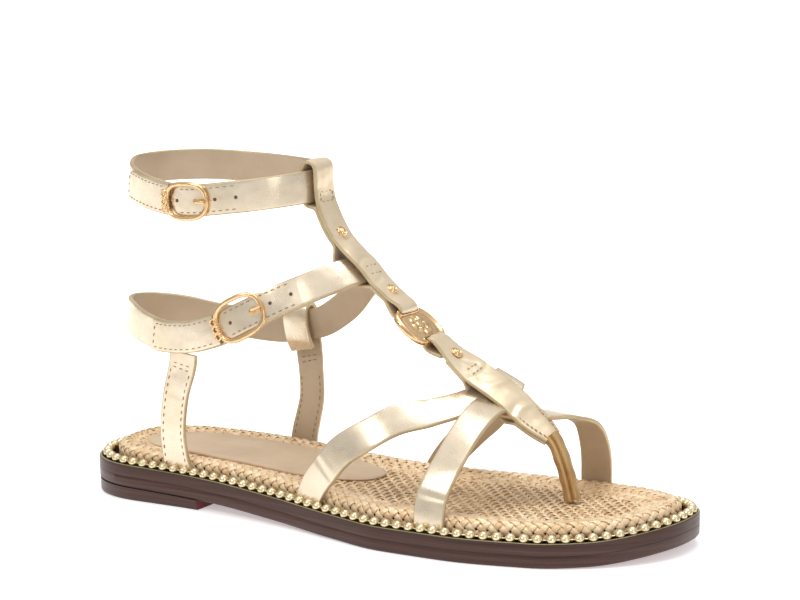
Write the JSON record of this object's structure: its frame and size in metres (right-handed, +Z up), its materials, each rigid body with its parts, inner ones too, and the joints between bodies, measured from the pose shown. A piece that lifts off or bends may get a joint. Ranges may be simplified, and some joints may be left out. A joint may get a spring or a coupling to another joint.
{
  "type": "gladiator sandal",
  "caption": "flat strappy gladiator sandal for the right foot: crossed vamp straps with a toe post, buckled ankle straps and a bead-edged woven footbed",
  "frame": {"origin": "on the floor under the middle of the object's own box", "axes": "+X from heel to toe, +Y to the inner side of the foot (left of the wearer's right foot), +Z up; the sandal stands on its sole on z = 0"},
  "size_m": [0.256, 0.0924, 0.1376],
  "materials": {
    "gold_leather": "metallic champagne foil on leather, semi-gloss, fine grain",
    "sole_brown": "dark brown stacked leather edge, satin",
    "woven_raffia": "tan-gold metallic woven raffia, satin",
    "rose_gold": "polished yellow and rose gold plated hardware",
    "bead_gold": "pale gold plated beads, polished",
    "heel_pad": "taupe leather, matt",
    "lining": "taupe lining leather, matt"
  },
  "bodies": {
    "root": {"outsole": "sole_brown", "midsole": "sole_brown", "heel": "sole_brown", "footbed": "woven_raffia", "bead_rand": "bead_gold", "upper_vamp_straps": "gold_leather", "upper_instep_strap": "gold_leather", "upper_low_ankle_strap": "gold_leather", "upper_top_ankle_strap": "gold_leather", "upper_medial_quarter": "gold_leather", "upper_low_chape": "gold_leather", "upper_top_chape": "gold_leather", "low_buckle_frame": "rose_gold", "low_buckle_prong": "rose_gold", "top_buckle_frame": "rose_gold", "top_buckle_prong": "rose_gold", "medallion": "rose_gold", "stud_1": "rose_gold", "stud_2": "rose_gold", "stud_3": "rose_gold"}
  },
  "joints": []
}
